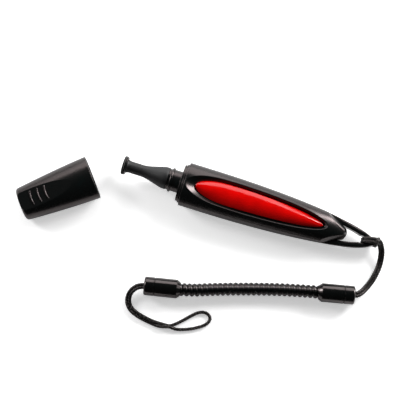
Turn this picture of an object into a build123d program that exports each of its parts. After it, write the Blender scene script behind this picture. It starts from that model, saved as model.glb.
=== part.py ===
from build123d import *

import os
from math import atan, cos, pi, radians, sin, sqrt, tan

# A lens cleaning pen that lies on its flat back, with its cap taken off beside it and a coiled strap
# hitched to the bail at its tail. The tip points towards -X and the red face up. The origin is on the
# table, under the middle of the flat back. All sizes are in millimetres.

# Pen body: places along it are measured from the shoulder, where the cap seats
shoulder_x = -34.0
axis_z = 6.0
half_width = 8.92
straight_length = 10.0
tail_length = 69.6
crown_height = 6.8
crown_place = 20.0
crown_overhang = 3.1
belly_depth = 6.5
tail_rise_length = 18.0
tail_rise = 2.1
apex_rise = 2.3
shell_wall = 1.6
roof_height = 2.2
cavity_margin = 0.2
shoulder_round = 0.25

# Nose of the upper shell and the open bail of the lower one
bail_end_margin = 0.3
bail_bar = 4.3
bail_gap = 7.2
bail_inner_half = 6.1
bail_end_half = 1.5
bail_end_round = 0.5
bail_edge_round = 0.8
bail_rim_round = 0.6
nose_point = 0.8
nose_length = 7.8
nose_side_inset = 0.01
nose_corner_half = 2.1
nose_draft = 24.0
nose_ridge_height = 2.0
nose_round = 0.8
nose_rise = 1.8
parting_edge = 0.1
tongue_gap = 0.1
bail_end = straight_length + tail_length - bail_end_margin
bail_inner_end = bail_end - bail_bar
nose_tip = bail_inner_end - bail_gap
nose_corner = nose_tip - nose_point
nose_start = nose_corner - nose_length
crown_length = nose_tip + crown_overhang - crown_place
tail_rise_end = nose_tip - nose_rise
rest_end = tail_rise_end - tail_rise_length
cavity_end = nose_start - cavity_margin

# Long oval recess with its inlay: its wall leans out most at the front and least along the sides
recess_front = 4.6
recess_wide = 18.5
recess_margin = 1.4
recess_half = 4.45
recess_depth = 2.0
wall_height = 4.0
wall_front = 9.6
wall_tail = 3.9
wall_side = 3.35
wall_shift = 10.5
rim_round = 0.35
inlay_gap = 0.15
inlay_crown = 2.1
inlay_edge = 0.8
inlay_round = 0.25
peg_radius = 0.75
peg_length = 1.0
peg_gap = 0.05
peg_inset = 9.0
recess_tail = nose_start - recess_margin
peg_places = (recess_front + peg_inset, recess_tail - peg_inset)

# Pins and bosses that join the two shells
front_pin = 12.0
rear_pin_inset = 5.0
pin_places = (front_pin, cavity_end - rear_pin_inset)
pin_radius = 0.9
pin_reach = 3.4
pin_gap = 0.08
boss_radius = 2.0

# Nose plug with its collar, bead and peg
plug_inset = 0.9
step_inset = 1.4
spigot_inset = 2.6
plug_gap = 0.05
plug_front = 0.8
step_front = 1.7
plug_depth = 5.0
plug_round = 0.2
collar_radius = 4.4
bead_place = 5.45
bead_radius = 4.95
bead_half = 0.6
groove_radius = 4.25
core_radius = 1.6
core_end = 14.0
tongue_half = 3.6
tongue_thickness = 2.0
tongue_length = 10.5

# Soft neck
boot_back = 6.9
boot_radius = 4.45
boot_round = 0.2
cone_start = 8.4
cone_middle = 12.2
cone_middle_radius = 3.48
waist_start = 17.6
waist_radius = 2.37
flare_start = 22.6
flare_radius = 2.8
boot_front = 24.1
fit_gap = 0.05

# Tip
backing_radius = 3.7
backing_thickness = 0.75
backing_round = 0.25
stem_radius = 1.2
stem_length = 2.6
pad_radius = 3.8
pad_thickness = 0.9
pad_round = 0.35

# Cap: places along it are measured from its mouth
cap_mouth = (-69.88, -8.47)
cap_turn = 38.7
cap_length = 30.8
cap_width_loss = 0.25
cap_crown_loss = 0.04
cap_belly_loss = 0.18
cap_sweep = 1.4
cap_wall = 1.0
cap_socket_depth = 2.4
cap_end_wall = 1.5
cap_end_round = 1.5
cap_mouth_round = 0.25
cap_seat_gap = 0.08
web_thickness = 0.8
web_start = 3.5
web_margin = 1.4
web_gap = 0.15
web_side_gap = 0.3
facet_height = 5.0
facet_middle_reach = 12.4
facet_middle_height = 5.44
facet_reach = 22.8
rib_places = (5.1, 8.2, 11.2)
rib_half_length = 2.7
rib_round = 0.4
rib_height = 0.3
rib_bow = 9.0
felt_radius = 4.0
felt_thickness = 3.0
felt_gap = 0.1
cup_wall = 0.7
cup_height = 2.4

# Strap
hitch_cord = 1.2
hitch_width = 2.4
hitch_gap = 0.15
hitch_round = 0.35
hitch_place = 0.15
cord_diameter = 2.3
loop_diameter = 1.15
coil_diameter = 4.8
ferrule_radius = 3.75
ferrule_length = 10.2
ferrule_chamfer = 0.95
ferrule_taper = 1.3
seam_chamfer = 0.22
coil_bore_depth = 2.4
plug_length = 4.2
plug_end_round = 0.8
tenon_radius = 2.6
tenon_length = 5.5
cord_gap = 0.02
cord_mouth = 0.55
first_ferrule = (29.86, -25.23)
first_turn = 12.3
second_ferrule = (-22.85, -40.77)
second_turn = 191.6

tail_cord_route = [
    (47.4, 1.0, 4.6),
    (48.8, -0.9, 4.1),
    (49.7, -3.6, 2.7),
    (50.1, -7.2, 1.5),
    (49.7, -11.0, 1.25),
    (48.8, -14.7, 1.3),
    (47.3, -18.1, 1.9),
    (45.9, -20.6, 3.0),
    (43.83, -22.18, 3.75),
    (41.19, -22.76, 3.75),
]
coil_route = [
    (-24.81, -41.17, 3.75),
    (-18.93, -39.97, 3.75),
    (-10.5, -36.75, 3.35),
    (3.0, -32.3, 3.0),
    (15.5, -28.6, 3.2),
    (25.95, -26.08, 3.75),
    (31.81, -24.80, 3.75),
]
loop_cord_route = [
    (-33.9, -43.04, 3.75),
    (-37.0, -43.67, 3.75),
    (-39.6, -44.8, 3.3),
    (-41.3, -47.0, 2.5),
    (-41.75, -49.7, 1.7),
    (-40.9, -52.3, 1.3),
    (-38.8, -54.3, 1.25),
    (-35.6, -55.4, 1.25),
    (-31.9, -56.1, 1.25),
    (-27.9, -56.4, 1.25),
    (-24.2, -55.95, 1.25),
    (-21.7, -55.45, 1.25),
]
phone_loop_route = [
    (-21.6, -54.85, 0.75),
    (-19.9, -53.55, 0.65),
    (-17.6, -51.35, 0.65),
    (-15.4, -49.0, 0.65),
    (-13.6, -47.3, 0.65),
    (-11.6, -46.3, 0.65),
    (-9.5, -46.4, 0.65),
    (-8.0, -47.7, 0.65),
    (-8.1, -49.6, 0.65),
    (-9.5, -51.3, 0.65),
    (-11.6, -52.75, 0.65),
    (-14.0, -54.15, 0.65),
    (-16.6, -55.2, 0.65),
    (-19.2, -55.95, 0.65),
    (-21.6, -56.15, 0.75),
]

os.makedirs("parts", exist_ok=True)

pen_side = Plane(origin=(shoulder_x, 0, axis_z), x_dir=(1, 0, 0), z_dir=(0, -1, 0))
pen_axis = Axis((shoulder_x, 0, axis_z), (1, 0, 0))
pen_top = Plane(origin=(shoulder_x, 0, axis_z))


def across(place):
    """Plane across the pen, its X to the pen's left and its Y up."""
    return Plane(origin=(shoulder_x + place, 0, axis_z), x_dir=(0, 1, 0), z_dir=(1, 0, 0))


def body_half(place):
    """Half width of the pen: level behind the shoulder, then the end of a long ellipse."""
    beyond = max(0.0, place - straight_length)
    return half_width * sqrt(1.0 - (beyond / tail_length) ** 2)


def crown(place):
    """Height of the upper shell over the parting plane."""
    return crown_height * sqrt(1.0 - ((place - crown_place) / crown_length) ** 2)


def arch(plane, half, height):
    """Upper half of an oval, closed along the parting line."""
    with BuildSketch(plane) as face:
        with BuildLine():
            EllipticalCenterArc((0, 0), half, height, start_angle=0, arc_size=180)
            Line((-half, 0), (half, 0))
        make_face()
    return face.sketch


def trough(plane, half, depth, edge):
    """Lower half of an oval with a broad flat bottom and a rounded edge along the parting line."""
    flat = half / 2
    low = depth - edge
    with BuildSketch(plane) as face:
        with BuildLine():
            Line((edge - half, 0), (half - edge, 0))
            EllipticalCenterArc((half - edge, -edge), edge, edge, start_angle=90, arc_size=-90)
            EllipticalCenterArc((flat, -edge), half - flat, low, start_angle=0, arc_size=-90)
            Line((flat, -depth), (-flat, -depth))
            EllipticalCenterArc((-flat, -edge), half - flat, low, start_angle=180, arc_size=90)
            EllipticalCenterArc((edge - half, -edge), edge, edge, start_angle=180, arc_size=-90)
        make_face()
    return face.sketch


def parting_round(place):
    """Rounding along the parting line, which opens out from a fine groove to the round arms."""
    opened = min(1.0, max(0.0, (place - cavity_end) / (tail_rise_end - cavity_end)))
    arm_round = min(bail_edge_round, 0.7 * body_half(place))
    return parting_edge + (arm_round - parting_edge) * opened


def oval(plane, half, height, depth):
    """Whole section of the body or the cap: an arch over a trough."""
    with BuildSketch(plane) as face:
        with BuildLine():
            EllipticalCenterArc((0, 0), half, height, start_angle=0, arc_size=180)
            EllipticalCenterArc((-half / 2, 0), half / 2, depth, start_angle=180, arc_size=90)
            Line((-half / 2, -depth), (half / 2, -depth))
            EllipticalCenterArc((half / 2, 0), half / 2, depth, start_angle=270, arc_size=90)
        make_face()
    return face.sketch


def shoulder_oval(place, inset):
    """Section of the shoulder, drawn in by an inset."""
    return oval(across(place), body_half(0) - inset, crown(0) - inset, axis_z - inset)


def leaf(plane, front, wide, tail, half):
    """Long leaf of the recess: a blunt half ellipse in front and a slender one behind."""
    with BuildSketch(plane) as face:
        with BuildLine():
            EllipticalCenterArc((wide, 0), wide - front, half, start_angle=90, arc_size=180)
            EllipticalCenterArc((wide, 0), tail - wide, half, start_angle=-90, arc_size=180)
        make_face()
    return face.sketch


def nose_plan(inset=0.0):
    """Plan of the upper shell, which narrows to the rounded tip of its nose."""
    side = body_half(nose_start) - nose_side_inset - inset
    corner = nose_corner_half - inset
    wide = half_width + 1
    with BuildSketch(pen_top) as face:
        with BuildLine():
            Polyline(
                (nose_corner, corner),
                (nose_start, side),
                (nose_start, wide),
                (-crown_height, wide),
                (-crown_height, -wide),
                (nose_start, -wide),
                (nose_start, -side),
                (nose_corner, -corner),
            )
            ThreePointArc((nose_corner, -corner), (nose_tip - inset, 0), (nose_corner, corner))
        make_face()
    return face.sketch


def write(piece, label):
    """Labels a finished piece and writes its file."""
    piece.label = label
    print(label, round(piece.volume, 2), len(piece.solids()), piece.is_valid)
    export_step(piece, f"parts/{label}.step")


# The two outer forms of the body, above and below the parting plane
upper_end = nose_tip + crown_overhang / 3
with BuildPart() as upper_form:
    shares = (0.0, 0.087, 0.174, 0.348, 0.522, 0.696, 0.841, 0.928, 1.0)
    stations = [share * upper_end for share in shares]
    loft([arch(across(place), body_half(place), crown(place)) for place in stations])
    shoulder = upper_form.faces().sort_by(Axis.X)[0]
    fillet(shoulder.edges().sort_by(Axis.Z)[-1], shoulder_round)

with BuildPart() as lower_form:
    shares = (0.0, 0.076, 0.151, 0.303, 0.454, 0.605, 0.731, 0.832, 0.92, 1.0)
    stations = [share * bail_end for share in shares]
    loft(
        [
            trough(across(place), body_half(place), belly_depth, parting_round(place))
            for place in stations
        ]
    )
    with BuildSketch(pen_side):
        with BuildLine():
            Polyline(
                (tail_rise_end, tail_rise - axis_z),
                (bail_end, apex_rise - axis_z),
                (bail_end, 0),
                (0, 0),
                (0, -axis_z),
                (rest_end, -axis_z),
            )
            Spline(
                (rest_end, -axis_z),
                (tail_rise_end, tail_rise - axis_z),
                tangents=((1, 0), (1, 0.02)),
            )
        make_face()
    extrude(amount=half_width + 1, both=True, mode=Mode.INTERSECT)
    shoulder = lower_form.faces().sort_by(Axis.X)[0]
    fillet(shoulder.edges().filter_by(lambda edge: edge.center().Z < axis_z - parting_edge), shoulder_round)

# Hollow inside the two shells
cavity_length = cavity_end - plug_depth
with BuildPart() as cavity:
    loft(
        [
            oval(
                across(place),
                body_half(place) - shell_wall,
                roof_height * crown(place) / crown_height,
                axis_z - shell_wall - tail_rise * max(0.0, place - rest_end) / (tail_rise_end - rest_end),
            )
            for place in [plug_depth + share * cavity_length for share in (0.0, 0.35, 0.7, 1.0)]
        ]
    )

# Socket for the nose plug, open at the shoulder
with BuildPart() as plug_socket:
    extrude(shoulder_oval(0, spigot_inset - plug_gap), amount=plug_depth + plug_gap)

# Tilted seat of the recess: its floor follows the fall of the crown from the shoulder to the nose
front_height = crown(recess_front)
tail_height = crown(recess_tail)
seat_fall = (front_height - tail_height) / (recess_tail - recess_front)
seat_origin = (shoulder_x, 0, axis_z + front_height + seat_fall * recess_front - recess_depth)
seat = Plane(origin=seat_origin, x_dir=(1, 0, -seat_fall), z_dir=(seat_fall, 0, 1))
recess_floor = leaf(seat, recess_front, recess_wide, recess_tail, recess_half)
recess_mouth = leaf(
    seat.offset(wall_height),
    recess_front - wall_front,
    recess_wide - wall_shift,
    recess_tail + wall_tail,
    recess_half + wall_side,
)

with BuildPart() as front_shell:
    add(upper_form.part)
    extrude(nose_plan(), amount=crown_height + 1, taper=nose_draft, mode=Mode.INTERSECT)
    loft([recess_floor, recess_mouth], ruled=True, mode=Mode.SUBTRACT)
    add(cavity.part, mode=Mode.SUBTRACT)
    add(plug_socket.part, mode=Mode.SUBTRACT)
    with BuildSketch(pen_top.offset(-pin_reach)):
        with Locations(*[(place, 0) for place in pin_places]):
            Circle(pin_radius)
    extrude(amount=pin_reach + roof_height)
    with BuildSketch(seat):
        with Locations(*[(place, 0) for place in peg_places]):
            Circle(peg_radius + peg_gap)
    extrude(amount=-peg_length - 2 * peg_gap, mode=Mode.SUBTRACT)
    fillet(front_shell.edges().sort_by(SortBy.LENGTH)[-1], rim_round)
    nose_ridges = front_shell.edges().filter_by(
        lambda edge: edge.center().X > shoulder_x + nose_start
        and edge.center().Z > axis_z + nose_ridge_height
        and edge.length > nose_corner - nose_start
    )
    fillet(nose_ridges, nose_round)
write(front_shell.part, "front_shell")

with BuildPart() as back_shell:
    add(lower_form.part)
    with BuildSketch(pen_top):
        with BuildLine():
            opening = EllipticalCenterArc(
                (straight_length, 0),
                bail_inner_end - straight_length,
                bail_inner_half,
                start_angle=-90,
                arc_size=180,
            )
            Line(opening @ 0, opening @ 1)
        make_face()
        with Locations((bail_inner_end - bail_end_half, 0)):
            RectangleRounded(2 * bail_end_half, 2 * bail_end_half, bail_end_round)
        add(pen_top.to_local_coords(nose_plan(tongue_gap)), mode=Mode.SUBTRACT)
    extrude(amount=-axis_z, mode=Mode.SUBTRACT)
    add(cavity.part, mode=Mode.SUBTRACT)
    add(plug_socket.part, mode=Mode.SUBTRACT)
    boss_drops = (tongue_thickness / 2 + plug_gap, 0.0)
    for place, drop in zip(pin_places, boss_drops):
        with BuildSketch(Plane(origin=(shoulder_x + place, 0, axis_z - drop))):
            Circle(boss_radius)
        extrude(amount=shell_wall / 2 + drop - axis_z)
    with BuildSketch(pen_top):
        with Locations(*[(place, 0) for place in pin_places]):
            Circle(pin_radius + pin_gap)
    extrude(amount=-pin_reach - pin_gap, mode=Mode.SUBTRACT)
    bail_rim = back_shell.edges().filter_by(
        lambda edge: abs(edge.center().Z - axis_z) < parting_edge / 2
        and shoulder_x + nose_tip < edge.center().X < shoulder_x + bail_end - bail_end_half
    )
    fillet(bail_rim, bail_rim_round)
write(back_shell.part, "back_shell")

# Domed inlay: a leaf that stands on the recess floor under a long shallow dome
inlay_middle = (recess_front + recess_tail) / 2
inlay_reach = (recess_tail - recess_front) / 2 - inlay_gap
inlay_half = recess_half - inlay_gap
inlay_rise = inlay_crown - inlay_edge
dome_radius = (inlay_half**2 + inlay_rise**2) / (2 * inlay_rise)
dome_axis_height = inlay_crown - dome_radius
seat_side = Plane(origin=seat_origin, x_dir=seat.x_dir, z_dir=(0, -1, 0))
dome_axis = Axis(seat.from_local_coords((0, 0, dome_axis_height)), seat.x_dir)
with BuildPart() as inlay:
    inlay_leaf = leaf(seat, recess_front + inlay_gap, recess_wide, recess_tail - inlay_gap, inlay_half)
    extrude(inlay_leaf, amount=inlay_crown + 1)
    with BuildSketch(seat_side):
        with BuildLine():
            ThreePointArc(
                (inlay_middle - inlay_reach, inlay_edge),
                (inlay_middle, inlay_crown),
                (inlay_middle + inlay_reach, inlay_edge),
            )
            Polyline(
                (inlay_middle + inlay_reach, inlay_edge),
                (inlay_middle + inlay_reach + 1, dome_axis_height),
                (inlay_middle - inlay_reach - 1, dome_axis_height),
                (inlay_middle - inlay_reach, inlay_edge),
            )
        make_face()
    revolve(axis=dome_axis, mode=Mode.INTERSECT)
    dome = inlay.faces().sort_by(Axis.Z)[-1]
    fillet(dome.edges(), inlay_round)
    with BuildSketch(seat):
        with Locations(*[(place, 0) for place in peg_places]):
            Circle(peg_radius)
    extrude(amount=-peg_length)
write(inlay.part, "inlay")

with BuildPart() as nose_plug:
    extrude(shoulder_oval(-plug_front, plug_inset), amount=plug_front)
    fillet(nose_plug.faces().sort_by(Axis.X)[0].edges(), plug_round)
    extrude(shoulder_oval(-step_front, step_inset), amount=step_front)
    fillet(nose_plug.faces().sort_by(Axis.X)[0].edges(), plug_round)
    extrude(shoulder_oval(0, spigot_inset), amount=plug_depth)
    with BuildSketch(pen_side):
        with BuildLine():
            Polyline(
                (-bead_place + bead_half, collar_radius),
                (0, collar_radius),
                (0, 0),
                (-core_end, 0),
                (-core_end, core_radius),
                (-boot_back + fit_gap, core_radius),
                (-boot_back + fit_gap, groove_radius),
                (-bead_place - bead_half, groove_radius),
            )
            ThreePointArc(
                (-bead_place - bead_half, groove_radius),
                (-bead_place, bead_radius),
                (-bead_place + bead_half, collar_radius),
            )
        make_face()
    revolve(axis=pen_axis)
    with BuildSketch(across(plug_depth)):
        Rectangle(2 * tongue_half, tongue_thickness)
    extrude(amount=tongue_length)
    with BuildSketch(pen_top):
        with Locations((pin_places[0], 0)):
            Circle(pin_radius + pin_gap)
    extrude(amount=tongue_thickness, both=True, mode=Mode.SUBTRACT)
write(nose_plug.part, "nose_plug")

with BuildPart() as neck_boot:
    with BuildSketch(pen_side):
        with BuildLine():
            Polyline(
                (-cone_start, boot_radius),
                (-boot_back - boot_round, boot_radius),
                (-boot_back, boot_radius - boot_round),
                (-boot_back, core_radius + fit_gap),
                (-core_end - fit_gap, core_radius + fit_gap),
                (-core_end - fit_gap, 0),
                (-boot_front + stem_length + fit_gap, 0),
                (-boot_front + stem_length + fit_gap, stem_radius + fit_gap),
                (-boot_front, stem_radius + fit_gap),
                (-boot_front, flare_radius),
            )
            Spline(
                (-boot_front, flare_radius),
                (-flare_start, waist_radius),
                tangents=((0.6, -1), (1, 0)),
            )
            Line((-flare_start, waist_radius), (-waist_start, waist_radius))
            Spline(
                (-waist_start, waist_radius),
                (-cone_middle, cone_middle_radius),
                (-cone_start, boot_radius),
                tangents=((1, 0), (1, 0.1)),
            )
        make_face()
    revolve(axis=pen_axis)
write(neck_boot.part, "neck_boot")

backing_back = boot_front + fit_gap
backing_front = backing_back + backing_thickness
with BuildPart() as pad_backing:
    with BuildSketch(pen_side):
        with BuildLine():
            Polyline(
                (-backing_front, 0),
                (-backing_front, backing_radius - backing_round),
                (-backing_front + backing_round, backing_radius),
                (-backing_back - backing_round, backing_radius),
                (-backing_back, backing_radius - backing_round),
                (-backing_back, stem_radius),
                (-boot_front + stem_length, stem_radius),
                (-boot_front + stem_length, 0),
                close=True,
            )
        make_face()
    revolve(axis=pen_axis)
write(pad_backing.part, "pad_backing")

pad_front = backing_front + pad_thickness
with BuildPart() as cleaning_pad:
    with BuildSketch(pen_side):
        with BuildLine():
            Polyline(
                (-pad_front, pad_radius - pad_round),
                (-pad_front, 0),
                (-backing_front, 0),
                (-backing_front, pad_radius),
                (-pad_front + pad_round, pad_radius),
            )
            RadiusArc(
                (-pad_front + pad_round, pad_radius),
                (-pad_front, pad_radius - pad_round),
                -pad_round,
            )
        make_face()
    revolve(axis=pen_axis)
write(cleaning_pad.part, "cleaning_pad")

# The cap lies on its own belly, so its axis tilts down a little from the mouth to the closed end
cap_tilt = atan(cap_belly_loss * axis_z / cap_length)
cap_heading = radians(cap_turn)
cap_frame = Plane(
    origin=(cap_mouth[0], cap_mouth[1], axis_z * cos(cap_tilt)),
    x_dir=(-cos(cap_heading) * cos(cap_tilt), -sin(cap_heading) * cos(cap_tilt), -sin(cap_tilt)),
    z_dir=(-cos(cap_heading) * sin(cap_tilt), -sin(cap_heading) * sin(cap_tilt), cos(cap_tilt)),
)
cap_side = Plane(origin=cap_frame.origin, x_dir=cap_frame.x_dir, z_dir=-cap_frame.y_dir)


def cap_across(place):
    """Plane across the cap at a distance behind its mouth."""
    origin = cap_frame.from_local_coords((place, 0, 0))
    return Plane(origin=origin, x_dir=cap_frame.y_dir, z_dir=cap_frame.x_dir)


def cap_section(place, wall):
    """Oval section of the cap, drawn in by a wall."""
    loss = (place / cap_length) ** cap_sweep
    half = body_half(0) * (1.0 - cap_width_loss * loss)
    height = crown(0) * (1.0 - cap_crown_loss * loss)
    depth = axis_z * (1.0 - cap_belly_loss * loss)
    return oval(cap_across(place), half - wall, height - wall, depth - wall)


facet_end = cap_length - facet_reach
facet_middle = cap_length - facet_middle_reach


def facet_bow(drop):
    """Bow of the scooped thumb facet along the cap, lowered by a drop."""
    return ThreePointArc(
        (cap_length + 1, facet_height - drop),
        (facet_middle, facet_middle_height - drop),
        (facet_end, crown(0) - drop),
    )


def facet_at(place):
    """Height of the thumb facet over the cap's axis."""
    with BuildLine() as bow:
        facet_bow(0.0)
    return bow.line.intersect(Axis((place, 0, 0), (0, 1, 0))).vertices()[0].Y


def above_facet(drop):
    """Everything above the thumb facet, lowered by a drop."""
    ahead = facet_end - (facet_middle - facet_end) / 5
    with BuildPart() as tool:
        with BuildSketch(cap_side):
            with BuildLine():
                facet_bow(drop)
                Polyline(
                    (facet_end, crown(0) - drop),
                    (ahead, crown(0) + crown_height),
                    (cap_length + 1, crown(0) + crown_height),
                    (cap_length + 1, facet_height - drop),
                )
            make_face()
        extrude(amount=half_width + 1, both=True)
    return tool.part


cap_inner_end = cap_length - cap_end_wall
cup_radius = felt_radius + felt_gap
web_middle = bead_radius + web_gap + web_thickness / 2
web_room = web_middle + web_thickness / 2 + web_side_gap + cap_wall
web_reach = cap_length * ((1.0 - web_room / body_half(0)) / cap_width_loss) ** (1.0 / cap_sweep)
web_end = min(web_reach, cap_inner_end - cup_height - web_margin)
with BuildPart() as cap_cavity:
    loft([cap_section(share * cap_inner_end, cap_wall) for share in (0.0, 0.25, 0.5, 0.75, 1.0)])
    add(above_facet(cap_wall), mode=Mode.SUBTRACT)
    with BuildSketch(cap_across(web_start)):
        for side in (-1, 1):
            with Locations((side * web_middle, 0)):
                Rectangle(web_thickness, 4 * axis_z)
    extrude(amount=web_end - web_start, mode=Mode.SUBTRACT)
    with BuildSketch(cap_across(cap_inner_end - cup_height)):
        Circle(cup_radius + cup_wall)
    extrude(amount=cup_height, mode=Mode.SUBTRACT)
    with BuildSketch(cap_across(cap_inner_end - cup_height)):
        Circle(cup_radius)
    extrude(amount=cup_height)
    extrude(cap_section(0.0, plug_inset - cap_seat_gap), amount=cap_socket_depth)

with BuildPart() as cap_shell:
    loft([cap_section(share * cap_length, 0.0) for share in (0.0, 0.25, 0.5, 0.75, 1.0)])
    closed_end = cap_shell.faces().sort_by(Axis(cap_frame.origin, cap_frame.x_dir))[-1]
    fillet(closed_end.edges(), cap_end_round)
    split(bisect_by=Plane.XY, keep=Keep.TOP)
    add(above_facet(0.0), mode=Mode.SUBTRACT)
    mouth_rim = cap_shell.faces().sort_by(Axis(cap_frame.origin, cap_frame.x_dir))[0]
    fillet(mouth_rim.edges(), cap_mouth_round)
    add(cap_cavity.part, mode=Mode.SUBTRACT)
    for rib_place in rib_places:
        rib_middle = cap_length - rib_place
        rib_level = facet_at(rib_middle) + rib_height - rib_round
        rib_reach = rib_half_length / rib_bow
        bow_middle = cap_frame.from_local_coords((rib_middle - rib_bow, 0, rib_level))
        bow = Plane(origin=bow_middle, x_dir=cap_frame.x_dir, z_dir=cap_frame.z_dir)
        with BuildLine(bow):
            rib_line = ThreePointArc(
                (rib_bow * cos(rib_reach), -rib_bow * sin(rib_reach)),
                (rib_bow, 0),
                (rib_bow * cos(rib_reach), rib_bow * sin(rib_reach)),
            )
        with BuildSketch(Plane(origin=rib_line @ 0, z_dir=rib_line % 0)):
            Circle(rib_round)
        sweep()
        with Locations(rib_line @ 0, rib_line @ 1):
            Sphere(rib_round)
write(cap_shell.part, "cap_shell")

with BuildPart() as charging_pad:
    with BuildSketch(cap_across(cap_inner_end - felt_thickness)):
        Circle(felt_radius)
    extrude(amount=felt_thickness)
write(charging_pad.part, "charging_pad")

# Hitch: a band of cord over the bar at the end of the bail
apex_side = Plane(origin=(shoulder_x, hitch_place, 0), x_dir=(1, 0, 0), z_dir=(0, -1, 0))
bar_middle = ((bail_inner_end + bail_end) / 2, (apex_rise + axis_z) / 2)
bar_length = bail_end - bail_inner_end + 2 * hitch_gap
bar_height = axis_z - apex_rise + 2 * hitch_gap
with BuildPart() as hitch:
    with BuildSketch(apex_side):
        with Locations(bar_middle):
            RectangleRounded(
                bar_length + 2 * hitch_cord,
                bar_height + 2 * hitch_cord,
                hitch_cord + hitch_round,
            )
            RectangleRounded(bar_length, bar_height, hitch_round, mode=Mode.SUBTRACT)
    extrude(amount=hitch_width / 2, both=True)
write(hitch.part, "hitch")


def cord(route, diameter, label):
    """Plain tube along a route, its runs joined by arcs as large as the runs allow."""
    points = [Vector(*point) for point in route]
    runs = [after - before for before, after in zip(points, points[1:])]
    radii = [
        0.45 * min(first.length, second.length) / tan(radians(first.get_angle(second)) / 2)
        for first, second in zip(runs, runs[1:])
    ]
    with BuildPart() as tube:
        with BuildLine():
            path = FilletPolyline(*points, radius=radii)
        with BuildSketch(Plane(origin=path @ 0, z_dir=path % 0)):
            Circle(diameter / 2)
        sweep()
    expected = pi * (diameter / 2) ** 2 * path.length
    print(
        label,
        "length",
        round(path.length, 1),
        "radii",
        [round(radius, 1) for radius in radii],
        "volume ratio",
        round(tube.part.volume / expected, 4),
    )
    write(tube.part, label)


cord(tail_cord_route, cord_diameter, "tail_cord")
cord(coil_route, coil_diameter, "coil")
cord(loop_cord_route, cord_diameter, "loop_cord")
cord(phone_loop_route, loop_diameter, "phone_loop")


def ferrule(coil_end, turn, ferrule_label, plug_label):
    """Two-piece ferrule: a sleeve that takes the coil, and a plug that takes the cord."""
    heading = radians(turn)
    middle = Plane(
        origin=(coil_end[0], coil_end[1], ferrule_radius),
        x_dir=(cos(heading), sin(heading), 0),
        z_dir=(sin(heading), -cos(heading), 0),
    )
    length_axis = Axis(middle.origin, middle.x_dir)
    total = ferrule_length + plug_length
    cord_bore = cord_diameter / 2 + cord_gap
    coil_bore = coil_diameter / 2 + cord_gap
    with BuildPart() as sleeve:
        with BuildSketch(middle):
            with BuildLine():
                Polyline(
                    (0, coil_bore),
                    (0, ferrule_radius - ferrule_chamfer),
                    (ferrule_taper, ferrule_radius),
                    (ferrule_length - seam_chamfer, ferrule_radius),
                    (ferrule_length, ferrule_radius - seam_chamfer),
                    (ferrule_length, tenon_radius + fit_gap),
                    (ferrule_length - tenon_length - fit_gap, tenon_radius + fit_gap),
                    (ferrule_length - tenon_length - fit_gap, cord_bore),
                    (coil_bore_depth, cord_bore),
                    (coil_bore_depth, coil_bore),
                    close=True,
                )
            make_face()
        revolve(axis=length_axis)
    write(sleeve.part, ferrule_label)
    with BuildPart() as plug:
        with BuildSketch(middle):
            with BuildLine():
                Polyline(
                    (total, ferrule_radius - plug_end_round),
                    (total, cord_bore + cord_mouth),
                    (total - 2 * cord_mouth, cord_bore),
                    (ferrule_length - tenon_length, cord_bore),
                    (ferrule_length - tenon_length, tenon_radius),
                    (ferrule_length, tenon_radius),
                    (ferrule_length, ferrule_radius - seam_chamfer),
                    (ferrule_length + seam_chamfer, ferrule_radius),
                    (total - plug_end_round, ferrule_radius),
                )
                RadiusArc(
                    (total - plug_end_round, ferrule_radius),
                    (total, ferrule_radius - plug_end_round),
                    plug_end_round,
                )
            make_face()
        revolve(axis=length_axis)
    write(plug.part, plug_label)


ferrule(first_ferrule, first_turn, "tail_ferrule", "tail_plug")
ferrule(second_ferrule, second_turn, "loop_ferrule", "loop_plug")
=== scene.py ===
"""A lens cleaning pen on its back, with its cap beside it and a coiled strap at its tail.

All sizes in the dataclasses are in millimetres. The frame has +X along the pen
towards its tail, +Z up, and its origin on the table under the flat back.
"""

from __future__ import annotations

import logging
import math
from dataclasses import dataclass, field
from enum import Enum
from typing import Callable, Sequence

import bmesh
import bpy
from mathutils import Matrix, Vector


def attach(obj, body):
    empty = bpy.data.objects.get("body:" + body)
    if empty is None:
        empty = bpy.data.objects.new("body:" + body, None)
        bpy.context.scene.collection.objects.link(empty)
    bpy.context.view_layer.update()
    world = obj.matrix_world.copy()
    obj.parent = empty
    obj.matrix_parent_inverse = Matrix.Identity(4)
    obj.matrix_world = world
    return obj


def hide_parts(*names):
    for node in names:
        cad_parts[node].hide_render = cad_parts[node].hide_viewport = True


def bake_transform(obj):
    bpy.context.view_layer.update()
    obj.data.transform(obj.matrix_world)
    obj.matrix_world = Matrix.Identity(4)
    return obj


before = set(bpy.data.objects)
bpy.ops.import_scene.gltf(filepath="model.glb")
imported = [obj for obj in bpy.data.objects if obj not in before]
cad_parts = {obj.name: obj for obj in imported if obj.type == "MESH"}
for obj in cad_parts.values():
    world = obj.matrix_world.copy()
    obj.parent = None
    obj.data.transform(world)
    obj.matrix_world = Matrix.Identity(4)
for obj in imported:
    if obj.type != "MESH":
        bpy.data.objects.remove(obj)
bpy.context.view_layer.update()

Colour = tuple[float, float, float]
Place = tuple[float, float, float]

# A millimetre in metres.
MM = 0.001
# The middle of the body's nose, where the neck starts, and the way from there to the tip.
SHOULDER = Vector((-34.0, 0.0, 6.0))
TIPWARDS = Vector((-1, 0, 0))
# Rise of a direction of length 1 from which a line counts as steep.
STEEP = 0.9
# Steps of a cord's spline from one control point to the next.
SPLINE_STEPS = 48
WHITE = (1.0, 1.0, 1.0, 1.0)
# Sockets of a Mix node that mixes colours.
MIX_FACTOR, MIX_FIRST, MIX_SECOND, MIX_RESULT = 0, 6, 7, 2
LOG = logging.getLogger("lens_pen")


class Body(Enum):
    """The rigid bodies that pieces ride on."""

    PEN = "pen"
    TIP = "tip"


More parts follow.
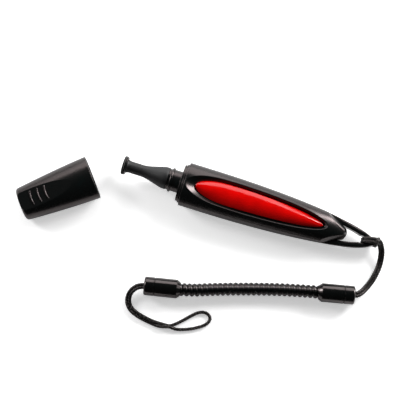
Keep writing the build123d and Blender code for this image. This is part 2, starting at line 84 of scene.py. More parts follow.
class Slot(Enum):
    """The record's material slots."""

    PLASTIC = "black_plastic"
    INLAY = "red_inlay"
    RUBBER = "black_rubber"
    LEATHER = "cleaning_leather"
    FELT = "felt"
    CORD = "black_cord"
    FERRULE = "ferrule_plastic"
    COIL = "coil_plastic"


class Socket:
    """A shader value for Python expressions; each operator works from both sides."""

    def __init__(self, graph: "Graph", link: bpy.types.NodeSocket) -> None:
        """Wraps an output socket of a graph."""
        self.graph = graph
        self.link = link

    def _maths(self, operation: str, first: object, second: object) -> "Socket":
        """Adds one Math node and returns its value."""
        return self.graph.add(
            "ShaderNodeMath", {"operation": operation}, {0: first, 1: second}
        )

    def __add__(self, other: object) -> "Socket":
        """self + other."""
        return self._maths("ADD", self, other)

    __radd__ = __add__

    def __mul__(self, other: object) -> "Socket":
        """self * other."""
        return self._maths("MULTIPLY", self, other)

    __rmul__ = __mul__

    def __sub__(self, other: object) -> "Socket":
        """self - other."""
        return self._maths("SUBTRACT", self, other)

    def __rsub__(self, other: object) -> "Socket":
        """other - self."""
        return self._maths("SUBTRACT", other, self)

    def __truediv__(self, other: object) -> "Socket":
        """self / other."""
        return self._maths("DIVIDE", self, other)

    def __rtruediv__(self, other: object) -> "Socket":
        """other / self."""
        return self._maths("DIVIDE", other, self)

    def __pow__(self, other: object) -> "Socket":
        """self ** other."""
        return self._maths("POWER", self, other)

    def __rpow__(self, other: object) -> "Socket":
        """other ** self."""
        return self._maths("POWER", other, self)

    def larger(self, other: object) -> "Socket":
        """The larger of self and other."""
        return self._maths("MAXIMUM", self, other)

    def step(self, low: float, high: float) -> "Socket":
        """Goes smoothly from 0 at low to 1 at high."""
        return self.graph.add(
            "ShaderNodeMapRange",
            {"interpolation_type": "SMOOTHSTEP"},
            {"Value": self, "From Min": low, "From Max": high},
        )


@dataclass(frozen=True)
class Pattern:
    """Noise, its scale per millimetre; its patches fade in from the low to the high value."""

    scale: float
    detail: float
    low: float = 0.0
    high: float = 1.0


class Graph:
    """The node tree of one material."""

    def __init__(self, name: str) -> None:
        """Makes an empty material with a surface output.

        Args:
            name: The material's name.
        """
        self.material = bpy.data.materials.new(name)
        self.material.use_nodes = True
        self.tree = self.material.node_tree
        self.tree.nodes.clear()
        self.output = self.tree.nodes.new("ShaderNodeOutputMaterial")

    def add(
        self,
        kind: str,
        settings: dict[str, object] | None = None,
        inputs: dict[str | int, object] | None = None,
        output: str | int = 0,
    ) -> Socket:
        """Adds a node.

        Args:
            kind: The node's type.
            settings: Attributes that are set first.
            inputs: Values or links of its sockets.
            output: The output socket that is handed back.

        Returns:
            The chosen output.
        """
        node = self.tree.nodes.new(kind)
        for key, value in (settings or {}).items():
            setattr(node, key, value)
        for key, value in (inputs or {}).items():
            if isinstance(value, Socket):
                self.tree.links.new(value.link, node.inputs[key])
            else:
                node.inputs[key].default_value = value
        return Socket(self, node.outputs[output])

    def place(self) -> Socket:
        """Object coordinates in millimetres."""
        coordinates = self.add("ShaderNodeTexCoord", output="Object")
        return self.add(
            "ShaderNodeMapping", inputs={"Vector": coordinates, "Scale": (1.0 / MM,) * 3}
        )

    def axis(self, name: str) -> Socket:
        """One object coordinate in millimetres."""
        return self.add("ShaderNodeSeparateXYZ", inputs={"Vector": self.place()}, output=name)

    def noise(self, pattern: Pattern, vector: Socket | None = None) -> Socket:
        """The noise of a pattern, from 0 to 1."""
        return self.add(
            "ShaderNodeTexNoise",
            inputs={
                "Vector": vector or self.place(),
                "Scale": pattern.scale,
                "Detail": pattern.detail,
            },
        )

    def patches(self, pattern: Pattern) -> Socket:
        """The patches of a pattern, from 0 to 1."""
        return self.noise(pattern).step(pattern.low, pattern.high)

    def blend(self, factor: Socket, first: Colour, second: Colour) -> Socket:
        """Mixes two colours."""
        return self.add(
            "ShaderNodeMix",
            {"data_type": "RGBA"},
            {MIX_FACTOR: factor, MIX_FIRST: (*first, 1.0), MIX_SECOND: (*second, 1.0)},
            output=MIX_RESULT,
        )

    def bump(self, height: Socket, distance: float = 1.0) -> Socket:
        """Turns a height into a normal; the distance is that of a height of 1, in millimetres."""
        return self.add("ShaderNodeBump", inputs={"Height": height, "Distance": distance * MM})

    def surface(self, inputs: dict[str | int, object]) -> bpy.types.Material:
        """Ends the graph in a Principled shader.

        Args:
            inputs: Values or links of the shader's sockets.

        Returns:
            The material.
        """
        shader = self.add("ShaderNodeBsdfPrincipled", inputs=inputs, output="BSDF")
        self.tree.links.new(shader.link, self.output.inputs["Surface"])
        return self.material


def brighter(colour: Colour, factor: float) -> Colour:
    """A colour times a factor."""
    return tuple(factor * one for one in colour)


@dataclass(frozen=True)
class MouldedPlastic:
    """Black moulded plastic with a fine spark-eroded grain, rubbed smoother in places."""

    name: str = "moulded_black"
    colour: Colour = (0.0012, 0.0026, 0.0026)
    rubbed_factor: float = 1.6
    gloss: Colour = (1.0, 0.83, 0.82)
    shine: float = 0.58
    roughness: float = 0.22
    rubbed_loss: float = 0.05
    grain_roughness: float = 0.06
    grain_height: float = 0.008
    grain: Pattern = Pattern(5.0, 2.0)
    rub: Pattern = Pattern(0.35, 3.0, 0.52, 0.72)

    def make(self) -> bpy.types.Material:
        """Builds the material.

        Returns:
            The material.
        """
        graph = Graph(self.name)
        grain = graph.noise(self.grain)
        rub = graph.patches(self.rub)
        rough = rub * -self.rubbed_loss + grain * self.grain_roughness + self.roughness
        return graph.surface(
            {
                "Base Color": graph.blend(
                    rub, self.colour, brighter(self.colour, self.rubbed_factor)
                ),
                "Roughness": rough,
                "Normal": graph.bump(grain, self.grain_height),
                "Specular IOR Level": self.shine,
                "Specular Tint": (*self.gloss, 1.0),
            }
        )


@dataclass(frozen=True)
class GlossInlay:
    """Deep glossy red of the domed inlay; its outline is two half ellipses, blunt and slender."""

    name: str = "domed_red"
    colour: Colour = (0.55, 0.0008, 0.0003)
    shade: Colour = (0.46, 0.0005, 0.0002)
    roughness: float = 0.1
    cloud_roughness: float = 0.03
    shine: float = 0.43
    peel_height: float = 0.004
    cloud: Pattern = Pattern(0.18, 2.0, 0.3, 0.7)
    orange_peel: Pattern = Pattern(0.9, 1.0)
    widest: float = -15.5
    front_reach: float = 13.75
    tail_reach: float = 39.1
    half_width: float = 4.3
    least_share: float = 0.12
    crown: float = 0.55

    def dome(self, graph: Graph) -> Socket:
        """Carries the roundness that the inlay has at its widest place to both of its ends.

        Args:
            graph: The graph of the material.

        Returns:
            A height for the bump, in millimetres.
        """
        past = graph.axis("X") - self.widest
        across = graph.axis("Y")
        share = (past * (1.0 / self.tail_reach)).larger(past * (-1.0 / self.front_reach))
        width = (1.0 - share * share).larger(self.least_share) ** 0.5
        return across * across * (1.0 - 1.0 / width) * (self.crown / self.half_width)

    def make(self) -> bpy.types.Material:
        """Builds the material.

        Returns:
            The material.
        """
        graph = Graph(self.name)
        cloud = graph.noise(self.cloud)
        orange_peel = graph.noise(self.orange_peel)
        shaded = cloud.step(self.cloud.low, self.cloud.high)
        return graph.surface(
            {
                "Base Color": graph.blend(shaded, self.colour, self.shade),
                "Roughness": cloud * self.cloud_roughness + self.roughness,
                "Normal": graph.bump(orange_peel * self.peel_height + self.dome(graph)),
                "Specular IOR Level": self.shine,
            }
        )


@dataclass(frozen=True)
class SoftRubber:
    """Matt black rubber, a little dusty."""

    name: str = "soft_rubber"
    colour: Colour = (0.006, 0.006, 0.0065)
    dusty: Colour = (0.012, 0.0115, 0.0115)
    roughness: float = 0.52
    dust_roughness: float = 0.1
    shine: float = 0.45
    skin_height: float = 0.010
    dust: Pattern = Pattern(1.6, 4.0, 0.5, 0.8)
    skin: Pattern = Pattern(7.0, 2.0)

    def make(self) -> bpy.types.Material:
        """Builds the material.

        Returns:
            The material.
        """
        graph = Graph(self.name)
        dust = graph.patches(self.dust)
        skin = graph.noise(self.skin)
        return graph.surface(
            {
                "Base Color": graph.blend(dust, self.colour, self.dusty),
                "Roughness": dust * self.dust_roughness + self.roughness,
                "Normal": graph.bump(skin, self.skin_height),
                "Specular IOR Level": self.shine,
            }
        )


@dataclass(frozen=True)
class NapLeather:
    """Fine nap of the cleaning face and of the felt in the cap."""

    name: str
    colour: Colour
    nap: Pattern
    tuft: Pattern
    dark_factor: float = 0.6
    light_factor: float = 1.5
    nap_height: float = 0.05
    tuft_share: float = 0.6
    roughness: float = 0.95
    sheen: float = 0.25
    sheen_roughness: float = 0.5

    def make(self) -> bpy.types.Material:
        """Builds the material.

        Returns:
            The material.
        """
        graph = Graph(self.name)
        nap = graph.noise(self.nap)
        tuft = graph.noise(self.tuft)
        return graph.surface(
            {
                "Base Color": graph.blend(
                    nap.step(self.nap.low, self.nap.high),
                    brighter(self.colour, self.dark_factor),
                    brighter(self.colour, self.light_factor),
                ),
                "Roughness": self.roughness,
                "Normal": graph.bump(nap + tuft * self.tuft_share, self.nap_height),
                "Sheen Weight": self.sheen,
                "Sheen Roughness": self.sheen_roughness,
            }
        )


@dataclass(frozen=True)
class GlossPlastic:
    """Smooth black plastic of the ferrules and the spring cord, with a few fine scuffs."""

    name: str
    roughness: float
    shine: float
    colour: Colour = (0.001, 0.0018, 0.0018)
    scuffed: Colour = (0.004, 0.005, 0.005)
    scuff_roughness: float = 0.12
    wave_height: float = 0.02
    gloss: Colour = (1.0, 0.86, 0.85)
    wave: Pattern = Pattern(0.5, 1.0)
    scuff: Pattern = Pattern(3.0, 4.0, 0.58, 0.75)

    def make(self) -> bpy.types.Material:
        """Builds the material.

        Returns:
            The material.
        """
        graph = Graph(self.name)
        wave = graph.noise(self.wave)
        scuff = graph.patches(self.scuff)
        return graph.surface(
            {
                "Base Color": graph.blend(scuff, self.colour, self.scuffed),
                "Roughness": scuff * self.scuff_roughness + self.roughness,
                "Normal": graph.bump(wave, self.wave_height),
                "Specular IOR Level": self.shine,
                "Specular Tint": (*self.gloss, 1.0),
            }
        )


@dataclass(frozen=True)
class BraidYarn:
    """Black polyester yarn, with its fibres along the length of the yarn."""

    name: str = "braided_yarn"
    stretch: tuple[float, float, float] = (1.6, 9.0, 1.0)
    colour: Colour = (0.0012, 0.0015, 0.0015)
    worn: Colour = (0.008, 0.0085, 0.0085)
    gloss: Colour = (1.0, 0.88, 0.86)
    roughness: float = 0.16
    fibre_roughness: float = 0.16
    fibre_height: float = 0.03
    fibre: Pattern = Pattern(2.2, 2.0)
    fleck: Pattern = Pattern(0.9, 1.0, 0.5, 0.7)

    def make(self) -> bpy.types.Material:
        """Builds the material; U runs along the yarn in millimetres and V round it.

        Returns:
            The material.
        """
        graph = Graph(self.name)
        along = graph.add("ShaderNodeTexCoord", output="UV")
        stretched = graph.add(
            "ShaderNodeMapping", inputs={"Vector": along, "Scale": self.stretch}
        )
        fibre = graph.noise(self.fibre, stretched)
        fleck = graph.patches(self.fleck)
        return graph.surface(
            {
                "Base Color": graph.blend(fleck, self.colour, self.worn),
                "Roughness": fibre * self.fibre_roughness + self.roughness,
                "Normal": graph.bump(fibre, self.fibre_height),
                "Specular Tint": (*self.gloss, 1.0),
            }
        )


@dataclass(frozen=True)
class PaleTable:
    """White table that stays white in the picture and keeps its shadows."""

    name: str = "pale_table"
    colour: Colour = (0.955, 0.955, 0.955)
    pale: Colour = (0.97, 0.97, 0.97)
    roughness: float = 0.9
    shine: float = 0.1
    grain: Pattern = Pattern(0.02, 3.0, 0.2, 0.8)
    lift: float = 0.5
    mirrored_lift: float = 0.1
    near: float = 260.0
    far: float = 520.0

    def make(self) -> bpy.types.Material:
        """Builds the material; past the lamps the table fades to plain white.

        Returns:
            The material.
        """
        graph = Graph(self.name)
        reach = graph.add(
            "ShaderNodeVectorMath", {"operation": "LENGTH"}, {0: graph.place()}, output="Value"
        )
        open_table = reach.step(self.near, self.far)
        seen = graph.add("ShaderNodeLightPath", output="Is Camera Ray")
        mirrored = graph.add("ShaderNodeLightPath", output="Is Glossy Ray")
        through = graph.add("ShaderNodeLightPath", output="Is Transmission Ray")
        grain = graph.patches(self.grain)
        return graph.surface(
            {
                "Base Color": graph.blend(grain, self.colour, self.pale),
                "Roughness": self.roughness,
                "Specular IOR Level": self.shine,
                "Emission Color": WHITE,
                "Emission Strength": seen * (open_table * (1.0 - self.lift) + self.lift)
                + (mirrored + through) * self.mirrored_lift,
            }
        )


@dataclass
class Palette:
    """Every finish, made once."""

    materials: dict[Slot, bpy.types.Material] = field(init=False)

    def __post_init__(self) -> None:
        """Makes the finishes."""
        leather = NapLeather(
            name="cleaning_nap",
            colour=(0.016, 0.015, 0.014),
            nap=Pattern(9.0, 5.0, 0.35, 0.7),
            tuft=Pattern(2.25, 2.0),
        )
        felt = NapLeather(
            name="charged_felt",
            colour=(0.02, 0.02, 0.021),
            nap=Pattern(4.0, 5.0, 0.35, 0.7),
            tuft=Pattern(1.0, 2.0),
        )
        self.materials = {
            Slot.PLASTIC: MouldedPlastic().make(),
            Slot.INLAY: GlossInlay().make(),
            Slot.RUBBER: SoftRubber().make(),
            Slot.LEATHER: leather.make(),
            Slot.FELT: felt.make(),
            Slot.CORD: BraidYarn().make(),
            Slot.FERRULE: GlossPlastic("ferrule_gloss", roughness=0.17, shine=0.7).make(),
            Slot.COIL: GlossPlastic("spring_gloss", roughness=0.03, shine=0.6).make(),
        }

    def dress(self, piece: bpy.types.Object, slot: Slot) -> None:
        """Gives a piece or a CAD node one finish."""
        piece.data.materials.clear()
        piece.data.materials.append(self.materials[slot])

    def dress_nodes(self, slot: Slot, *names: str) -> None:
        """Gives CAD nodes one finish.

        Args:
            slot: The finish.
            names: The nodes' names.
        """
        for name in names:
            self.dress(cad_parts[name], slot)
            LOG.info("%s: %s", name, slot.value)


def deselect() -> None:
    """Leaves edit mode and lets go of everything."""
    if bpy.context.object and bpy.context.object.mode != "OBJECT":
        bpy.ops.object.mode_set(mode="OBJECT")
    bpy.ops.object.select_all(action="DESELECT")


def grab(piece: bpy.types.Object) -> None:
    """Makes a piece the only selected and active one.

    Args:
        piece: The piece.
    """
    deselect()
    piece.select_set(True)
    bpy.context.view_layer.objects.active = piece


def settle(
    piece: bpy.types.Object,
    name: str,
    palette: Palette,
    slot: Slot,
    body: Body | None,
    angle: float,
) -> bpy.types.Object:
    """Names, applies, shades and dresses a finished piece.

    Args:
        piece: The piece.
        name: Its name.
        palette: The finishes.
        slot: The material slot of the piece.
        body: The body that it rides on, if it rides on one.
        angle: Edges up to this many degrees are shaded smooth.

    Returns:
        The piece.
    """
    piece.name = name
    piece.data.name = name
    grab(piece)
    bpy.ops.object.transform_apply(location=True, rotation=True, scale=True)
    bpy.ops.object.mode_set(mode="EDIT")
    bpy.ops.mesh.select_all(action="SELECT")
    bpy.ops.mesh.normals_make_consistent(inside=False)
    bpy.ops.object.mode_set(mode="OBJECT")
    bpy.ops.object.shade_smooth_by_angle(angle=math.radians(angle))
    deselect()
    palette.dress(piece, slot)
    if body:
        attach(piece, body.value)
    LOG.info("%s: %d faces", name, len(piece.data.polygons))
    return piece


def turned(
    name: str,
    origin: Vector,
    along: Vector,
    stations: Sequence[tuple[float, float]],
    sides: int = 72,
) -> bpy.types.Object:
    """Turns a piece from a disc, extruded and scaled from station to station.

    Args:
        name: The object's name.
        origin: Start of the axis, in millimetres.
        along: Direction of the axis.
        stations: Distance along the axis and radius, in millimetres.
        sides: Faces round the axis.

    Returns:
        The turned object, in its place.
    """
    deselect()
    start, radius = stations[0]
    bpy.ops.mesh.primitive_circle_add(vertices=sides, radius=radius * MM, fill_type="NGON")
    piece = bpy.context.object
    piece.name = name
    bpy.ops.object.mode_set(mode="EDIT")
    bpy.ops.mesh.select_all(action="SELECT")
    bpy.ops.transform.translate(value=(0, 0, start * MM))
    for place, wide in stations[1:]:
        bpy.ops.mesh.extrude_region_move(
            TRANSFORM_OT_translate={"value": (0, 0, (place - start) * MM)}
        )
        if wide != radius:
            bpy.ops.transform.resize(
                value=(wide / radius, wide / radius, 1), center_override=(0, 0, place * MM)
            )
        start, radius = place, wide
    bpy.ops.object.mode_set(mode="OBJECT")
    turn = along.to_track_quat("Z", "Y").to_matrix().to_4x4()
    piece.matrix_world = Matrix.Translation(origin * MM) @ turn
    return piece


def centreline(route: Sequence[Place], step: float) -> list[Vector]:
    """Smooth line of a cord: a NURBS spline with the route's points as its control points.

    Args:
        route: Control points in millimetres.
        step: Distance between the points handed back, in millimetres.

    Returns:
        Points evenly spaced along the line, in metres.
    """
    curve = bpy.data.curves.new("line", "CURVE")
    curve.dimensions = "3D"
    curve.resolution_u = SPLINE_STEPS
    spline = curve.splines.new("NURBS")
    spline.points.add(len(route) - 1)
    for point, place in zip(spline.points, route):
        point.co = (*(one * MM for one in place), 1.0)
    spline.order_u = 3
    spline.use_endpoint_u = True
    holder = bpy.data.objects.new("line", curve)
    bpy.context.scene.collection.objects.link(holder)
    bpy.context.view_layer.update()
    mesh = bpy.data.meshes.new_from_object(holder)
    dense = [vertex.co.copy() for vertex in mesh.vertices]
    bpy.data.meshes.remove(mesh)
    bpy.data.objects.remove(holder)
    bpy.data.curves.remove(curve)
    return evenly(dense, step * MM)


def length_of(points: Sequence[Vector]) -> float:
    """Length of a line in metres."""
    return sum((after - before).length for before, after in zip(points, points[1:]))


def evenly(points: Sequence[Vector], step: float) -> list[Vector]:
    """Walks along a line and marks points at one spacing, both ends kept.

    Args:
        points: The line, in metres.
        step: Distance between the new points, in metres, rounded to fit the line.

    Returns:
        The new points.
    """
    lengths = [0.0]
    for before, after in zip(points, points[1:]):
        lengths.append(lengths[-1] + (after - before).length)
    count = max(2, round(lengths[-1] / step))
    found: list[Vector] = []
    index = 0
    for number in range(count + 1):
        target = lengths[-1] * number / count
        while index < len(points) - 2 and lengths[index + 1] < target:
            index += 1
        span = lengths[index + 1] - lengths[index]
        part = (target - lengths[index]) / span if span else 0.0
        found.append(points[index].lerp(points[index + 1], min(1.0, part)))
    return found


@dataclass
class Trail:
    """A line with directions carried along it without twisting."""

    points: list[Vector]
    tangents: list[Vector] = field(init=False)
    sides: list[Vector] = field(init=False)

    def __post_init__(self) -> None:
        """Carries a side direction from point to point."""
        last = len(self.points) - 1
        self.tangents = [
            (self.points[min(i + 1, last)] - self.points[max(i - 1, 0)]).normalized()
            for i in range(last + 1)
        ]
        first = self.tangents[0]
        guess = Vector((0, 0, 1)) if abs(first.z) < STEEP else Vector((0, 1, 0))
        self.sides = [(guess - first * guess.dot(first)).normalized()]
        for tangent in self.tangents[1:]:
            side = self.sides[-1] - tangent * self.sides[-1].dot(tangent)
            self.sides.append(side.normalized())

    def offset(self, index: int, radius: float, angle: float) -> Vector:
        """Finds a point beside the line.

        Args:
            index: Number of the point on the line that it is beside.
            radius: Distance from the line, in metres.
            angle: Angle round the line.

        Returns:
            The point.
        """
        side = self.sides[index]
        other = self.tangents[index].cross(side)
        return self.points[index] + radius * (math.cos(angle) * side + math.sin(angle) * other)

    def beside(
        self, radius: Callable[[float], float], angle: Callable[[float], float]
    ) -> list[Vector]:
        """A line that follows this one.

        Args:
            radius: Distance from this line at a length along it, in metres.
            angle: Angle round this line at a length along it.

        Returns:
            Its points.
        """
        length = 0.0
        found = []
        for index, point in enumerate(self.points):
            if index:
                length += (point - self.points[index - 1]).length
            found.append(self.offset(index, radius(length), angle(length)))
        return found


class TubeMesh:
    """Collects tubes along lines into one mesh."""

    def __init__(self) -> None:
        """Starts empty."""
        self.mesh = bmesh.new()
        self.layer = self.mesh.loops.layers.uv.new("UVMap")

    def tube(self, points: Sequence[Vector], radius: float, sides: int) -> None:
        """Adds a closed tube; U runs along it in millimetres and V once round it.

        Args:
            points: Its line, in metres.
            radius: Its radius in metres.
            sides: Faces round it.
        """
        trail = Trail(list(points))
        rings = [
            [
                self.mesh.verts.new(trail.offset(index, radius, math.tau * k / sides))
                for k in range(sides)
            ]
            for index in range(len(trail.points))
        ]
        length = 0.0
        for index in range(len(rings) - 1):
            run = (trail.points[index + 1] - trail.points[index]).length / MM
            for k in range(sides):
                after = (k + 1) % sides
                near, far = rings[index], rings[index + 1]
                face = self.mesh.faces.new((near[k], near[after], far[after], far[k]))
                ends = (length, length, length + run, length + run)
                rounds = (k, k + 1, k + 1, k)
                for loop, u, v in zip(face.loops, ends, rounds):
                    loop[self.layer].uv = (u, v / sides)
            length += run
        self.mesh.faces.new(list(reversed(rings[0])))
        self.mesh.faces.new(rings[-1])

    def done(self, name: str) -> bpy.types.Object:
        """Turns the collected tubes into an object.

        Args:
            name: The object's name.

        Returns:
            The object.
        """
        data = bpy.data.meshes.new(name)
        self.mesh.normal_update()
        self.mesh.to_mesh(data)
        self.mesh.free()
        piece = bpy.data.objects.new(name, data)
        bpy.context.scene.collection.objects.link(piece)
        return piece


@dataclass
class Braid:
    """A round braid of a few yarns over and under each other, on a plain core.

    The core's radius takes in a share of the yarn's, so that no gap shows through.
    """

    radius: float
    carriers: int = 4
    pitch: float = 4.4
    yarn: float = 0.17
    lift: float = 0.06
    swell: float = 0.17
    core_share: float = 0.7
    core_sides: int = 10
    yarn_sides: int = 6

    def lay(self, mesh: TubeMesh, points: list[Vector]) -> None:
        """Adds the core and the yarns along a line.

        Args:
            mesh: The mesh that takes them.
            points: The line of the braid, in metres.
        """
        trail = Trail(points)
        middle = self.radius + self.swell - self.yarn - self.lift
        mesh.tube(points, (middle + self.core_share * self.yarn) * MM, self.core_sides)
        for hand in (-1, 1):
            for number in range(self.carriers):
                start = math.tau * number / self.carriers

                def angle(length: float, start: float = start, hand: int = hand) -> float:
                    """Angle of the yarn round the braid."""
                    return start + hand * math.tau * length / (self.pitch * MM)

                def radius(length: float, hand: int = hand) -> float:
                    """Distance of the yarn from the middle, over one and under the next."""
                    wave = hand * math.cos(self.carriers * math.tau * length / (self.pitch * MM))
                    return (middle + self.lift * wave) * MM

                mesh.tube(trail.beside(radius, angle), self.yarn * MM, self.yarn_sides)


@dataclass(frozen=True)
class SoftBox:
    """A panel of soft light that faces the object."""

    name: str
    bearing: float
    rise: float
    radiance: float
    width: float
    height: float
    distance: float = 590.0

    def place(self, target: Vector, away: Vector, right: Vector) -> None:
        """Adds the panel.

        Args:
            target: The middle of the picture, in millimetres.
            away: Level direction from the camera's side to the far side.
            right: Level direction to the right of the picture.
        """
        turn = math.radians(self.bearing)
        rise = math.radians(self.rise)
        level = away * math.cos(turn) + right * math.sin(turn)
        outward = level * math.cos(rise) + Vector((0, 0, math.sin(rise)))
        light = bpy.data.lights.new(self.name, "AREA")
        light.shape = "RECTANGLE"
        light.size = self.width * MM
        light.size_y = self.height * MM
        light.energy = self.radiance * math.pi * light.size * light.size_y
        holder = bpy.data.objects.new(self.name, light)
        bpy.context.scene.collection.objects.link(holder)
        holder.location = (target + outward * self.distance) * MM
        holder.rotation_euler = outward.to_track_quat("Z", "Y").to_euler()


@dataclass
class Studio:
    """Camera of the photograph, soft light round its upper edge, and a white table."""

    azimuth: float = 17.55
    elevation: float = 80.0
    distance: float = 550.0
    angle: float = 16.55
    shift_right: float = 6.24
    shift_up: float = -6.58
    sight: float = 20000.0
    table_size: float = 6000.0
    room_light: float = 0.03
    boxes: tuple[SoftBox, ...] = (
        SoftBox("middle_bank", 0.0, 22.5, 3.1, 640.0, 440.0),
        SoftBox("left_bank", -60.0, 22.5, 1.1, 620.0, 440.0),
        SoftBox("right_bank", 60.0, 22.5, 1.7, 620.0, 440.0),
        SoftBox("left_strip", -62.0, 27.0, 15.0, 150.0, 210.0, 560.0),
        SoftBox("right_strip", 53.0, 27.0, 20.0, 240.0, 210.0, 560.0),
    )

    def directions(self) -> tuple[Vector, Vector, Vector]:
        """Works out the directions of the photograph.

        Returns:
            To the right, level and away from the camera's side, and back to the camera.
        """
        turn = math.radians(self.azimuth)
        rise = math.radians(self.elevation)
        right = Vector((math.cos(turn), math.sin(turn), 0.0))
        away = Vector((-math.sin(turn), math.cos(turn), 0.0))
        back = Vector((0, 0, math.sin(rise))) - away * math.cos(rise)
        return right, away, back

    def build(self) -> None:
        """Adds the camera, the lamps, the world and the table."""
        right, away, back = self.directions()
        target = SHOULDER + right * self.shift_right + away * self.shift_up
        camera = bpy.data.cameras.new("camera")
        camera.angle = math.radians(self.angle)
        camera.clip_end = self.sight * MM
        viewer = bpy.data.objects.new("camera", camera)
        bpy.context.scene.collection.objects.link(viewer)
        viewer.location = (target + back * self.distance) * MM
        viewer.rotation_euler = back.to_track_quat("Z", "Y").to_euler()
        bpy.context.scene.camera = viewer
        for box in self.boxes:
            box.place(target, away, right)
        self.table()
        self.world()
        bpy.context.scene.view_settings.view_transform = "Standard"

    def table(self) -> None:
        """Adds the white table."""
        deselect()
        bpy.ops.mesh.primitive_plane_add(size=self.table_size * MM, location=(0, 0, 0))
        table = bpy.context.object
        table.name = "table"
        table.data.materials.append(PaleTable().make())
        deselect()

    def world(self) -> None:
        """Adds a dim room that the camera sees as white."""
        world = bpy.data.worlds.new("room")
        world.use_nodes = True
        bpy.context.scene.world = world
        tree = world.node_tree
        sky = tree.nodes["Background"]
        sky.inputs["Color"].default_value = WHITE
        path = tree.nodes.new("ShaderNodeLightPath")
        level = tree.nodes.new("ShaderNodeMapRange")
        level.inputs["To Min"].default_value = self.room_light
        level.inputs["To Max"].default_value = 1.0
        tree.links.new(path.outputs["Is Camera Ray"], level.inputs["Value"])
        tree.links.new(level.outputs[0], sky.inputs["Strength"])


@dataclass
class PenBody:
    """The two shells with the inlay and the plug between them."""

    palette: Palette

    def build(self) -> None:
        """Dresses the body."""
        self.palette.dress_nodes(Slot.PLASTIC, "back_shell", "front_shell", "nose_plug")
        self.palette.dress_nodes(Slot.INLAY, "inlay")


@dataclass
class Neck:
    """The soft boot, and the tip with its cleaning face.

    Places along the neck are measured from the shoulder towards the tip.
    """

    palette: Palette
    pivot: float = 19.3
    bend: float = 3.4
    smooth_angle: float = 60.0
    profile: tuple[tuple[float, float], ...] = (
        (6.9, 4.2),
        (6.96, 4.36),
        (7.15, 4.45),
        (8.0, 4.45),
        (8.4, 4.43),
        (9.0, 4.33),
        (10.0, 4.09),
        (11.0, 3.82),
        (12.2, 3.48),
        (13.4, 3.15),
        (14.6, 2.84),
        (15.7, 2.6),
        (16.7, 2.44),
        (17.6, 2.37),
        (18.3, 2.37),
        (19.0, 2.37),
        (19.7, 2.37),
        (20.4, 2.37),
        (21.2, 2.37),
        (22.0, 2.37),
        (22.6, 2.38),
        (23.1, 2.43),
        (23.6, 2.56),
        (23.9, 2.68),
        (24.05, 2.78),
        (24.1, 2.7),
    )

    def build(self) -> None:
        """Builds the boot and dresses the tip."""
        boot = turned("boot", SHOULDER, TIPWARDS, self.profile)
        settle(boot, "boot", self.palette, Slot.RUBBER, None, self.smooth_angle)
        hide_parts("neck_boot")
        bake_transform(boot)
        self.palette.dress_nodes(Slot.PLASTIC, "pad_backing")
        self.palette.dress_nodes(Slot.LEATHER, "cleaning_pad")


@dataclass
class Cap:
    """The loose cap with the felt at its bottom."""

    palette: Palette

    def build(self) -> None:
        """Dresses the cap."""
        self.palette.dress_nodes(Slot.PLASTIC, "cap_shell")
        self.palette.dress_nodes(Slot.FELT, "charging_pad")


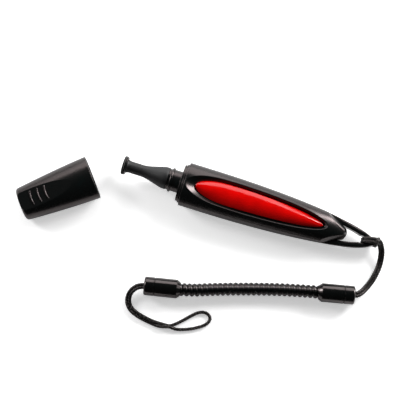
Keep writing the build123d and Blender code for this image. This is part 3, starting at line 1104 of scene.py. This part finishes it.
@dataclass
class Strap:
    """The hitch, the doubled cords, the spring cord, the two ferrules and the thin loop."""

    palette: Palette
    strand: float = 1.15
    pair_gap: float = 1.2
    wire: float = 1.98
    coil_radius: float = 1.71
    coil_pitch: float = 2.05
    step: float = 0.16
    coil_step: float = 0.085
    wire_sides: int = 12
    smooth_angle: float = 80.0
    late: float = 0.78
    sway: float = 0.06
    sway_rate: float = 9.0
    knot_route: tuple[Place, ...] = (
        (48.1, 1.15, 4.2),
        (47.2, 1.65, 5.5),
        (45.6, 1.75, 6.5),
        (43.0, 1.15, 6.75),
        (40.9, 0.5, 6.3),
        (40.4, 0.4, 4.0),
        (41.1, 0.45, 1.7),
        (43.2, 0.9, 1.5),
        (45.3, 1.5, 1.7),
        (46.6, 2.2, 3.2),
        (46.6, 2.3, 5.4),
        (46.4, 1.6, 7.0),
        (46.1, 0.5, 7.35),
        (45.9, -0.45, 6.9),
        (46.0, -0.95, 5.4),
        (46.1, -0.6, 3.2),
        (45.5, -0.2, 1.7),
        (43.2, -0.6, 1.5),
        (41.1, -0.7, 1.7),
        (40.5, -0.72, 4.0),
        (40.9, -0.65, 6.3),
        (43.0, -0.15, 6.75),
        (45.5, 0.3, 6.5),
        (47.1, 0.35, 5.2),
        (48.0, 0.3, 4.0),
    )
    tail_route: tuple[Place, ...] = (
        (47.4, 1.0, 4.6),
        (48.8, -0.9, 4.1),
        (49.7, -3.6, 2.7),
        (50.1, -7.2, 1.5),
        (49.7, -11.0, 1.25),
        (48.8, -14.7, 1.3),
        (47.3, -18.1, 1.9),
        (45.9, -20.6, 3.0),
        (43.83, -22.18, 3.75),
        (39.24, -23.18, 3.75),
    )
    coil_route: tuple[Place, ...] = (
        (-24.81, -41.17, 3.75),
        (-18.93, -39.97, 3.75),
        (-10.5, -36.75, 3.35),
        (3.0, -32.3, 3.0),
        (15.5, -28.6, 3.2),
        (25.95, -26.08, 3.75),
        (31.81, -24.80, 3.75),
    )
    loop_cord_route: tuple[Place, ...] = (
        (-33.9, -43.04, 3.75),
        (-37.0, -43.67, 3.75),
        (-39.6, -44.8, 3.3),
        (-41.3, -47.0, 2.5),
        (-41.75, -49.7, 1.7),
        (-40.9, -52.3, 1.3),
        (-38.8, -54.3, 1.25),
        (-35.6, -55.4, 1.25),
        (-31.9, -56.1, 1.25),
        (-28.2, -56.5, 1.25),
        (-25.3, -56.4, 1.35),
        (-22.8, -55.9, 1.45),
    )
    phone_loop_route: tuple[Place, ...] = (
        (-23.4, -56.0, 0.75),
        (-21.9, -55.3, 0.8),
        (-20.0, -53.75, 0.77),
        (-17.6, -51.35, 0.77),
        (-15.4, -49.0, 0.77),
        (-13.6, -47.3, 0.77),
        (-11.6, -46.3, 0.77),
        (-9.5, -46.4, 0.77),
        (-8.0, -47.7, 0.77),
        (-8.1, -49.6, 0.77),
        (-9.5, -51.3, 0.77),
        (-11.6, -52.75, 0.77),
        (-14.0, -54.15, 0.77),
        (-16.6, -55.2, 0.77),
        (-19.2, -56.1, 0.8),
        (-21.3, -56.15, 1.2),
        (-23.4, -55.9, 1.75),
    )

    def braided(self, name: str, lines: Sequence[list[Vector]]) -> bpy.types.Object:
        """Braids one piece of cord.

        Args:
            name: The piece's name.
            lines: The line of each of its strands, in metres.

        Returns:
            The piece.
        """
        mesh = TubeMesh()
        for line in lines:
            Braid(self.strand / 2).lay(mesh, line)
        piece = mesh.done(name)
        return settle(piece, name, self.palette, Slot.CORD, Body.PEN, self.smooth_angle)

    def doubled(
        self, name: str, route: Sequence[Place], turn: Callable[[float], float]
    ) -> tuple[bpy.types.Object, list[Vector]]:
        """Two braided strands side by side along a route.

        Args:
            name: The piece's name.
            route: Control points of the line between the strands.
            turn: Angle of the pair round that line, at a share of its length.

        Returns:
            The piece and the line between its strands.
        """
        line = centreline(route, self.step)
        whole = length_of(line)
        trail = Trail(line)
        strands = [
            trail.beside(
                lambda length: self.pair_gap / 2 * MM,
                lambda length, half=half: turn(length / whole) + half,
            )
            for half in (0.0, math.pi)
        ]
        return self.braided(name, strands), line

    def build(self) -> None:
        """Builds the strap from the hitch to the loop."""
        level = 0.5 * math.pi
        tail, tail_line = self.doubled("doubled_cord", self.tail_route, lambda part: level)
        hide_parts("tail_cord")
        self.palette.dress_nodes(
            Slot.FERRULE, "tail_ferrule", "tail_plug", "loop_ferrule", "loop_plug"
        )
        knot = self.knot()
        length_of(tail_line)
        self.spring()
        self.thin_end()

    def knot(self) -> bpy.types.Object:
        """Builds the hitch: the cord goes twice round the bar, and its bight holds it down.

        Returns:
            The piece.
        """
        piece = self.braided("hitch_knot", [centreline(self.knot_route, self.step)])
        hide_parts("hitch")
        return piece

    def spring(self) -> None:
        """Builds the spring cord: one wire wound along its line."""
        wire = Trail(centreline(self.coil_route, self.coil_step)).beside(
            lambda length: self.coil_radius * MM,
            lambda length: math.tau * length / (self.coil_pitch * MM),
        )
        mesh = TubeMesh()
        mesh.tube(wire, self.wire / 2 * MM, self.wire_sides)
        piece = mesh.done("spring_cord")
        settle(piece, "spring_cord", self.palette, Slot.COIL, Body.PEN, self.smooth_angle)
        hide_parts("coil")
        length_of(wire)

    def end_turn(self, part: float) -> float:
        """Turns the pair behind the second ferrule: level, then one strand over the other.

        Args:
            part: Share of the pair's length.

        Returns:
            The angle of the pair round the line between its strands.
        """
        over = max(0.0, (part - self.late) / (1.0 - self.late))
        eased = over * over * (3.0 - 2.0 * over)
        sway = self.sway * math.sin(self.sway_rate * part)
        return math.pi * (0.5 + sway - 0.5 * eased)

    def thin_end(self) -> None:
        """Builds the cord behind the second ferrule and the thin loop at its end."""
        cord, cord_line = self.doubled("loop_strands", self.loop_cord_route, self.end_turn)
        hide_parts("loop_cord")
        length_of(cord_line)
        line = centreline(self.phone_loop_route, self.step)
        loop = self.braided("thin_loop", [line])
        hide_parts("phone_loop")
        length_of(line)


def main() -> None:
    """Builds the scene, piece by piece."""
    logging.basicConfig(level=logging.INFO, format="%(message)s")
    Studio().build()
    palette = Palette()
    for part in (PenBody(palette), Neck(palette), Cap(palette), Strap(palette)):
        part.build()


if __name__ == "__main__":
    main()
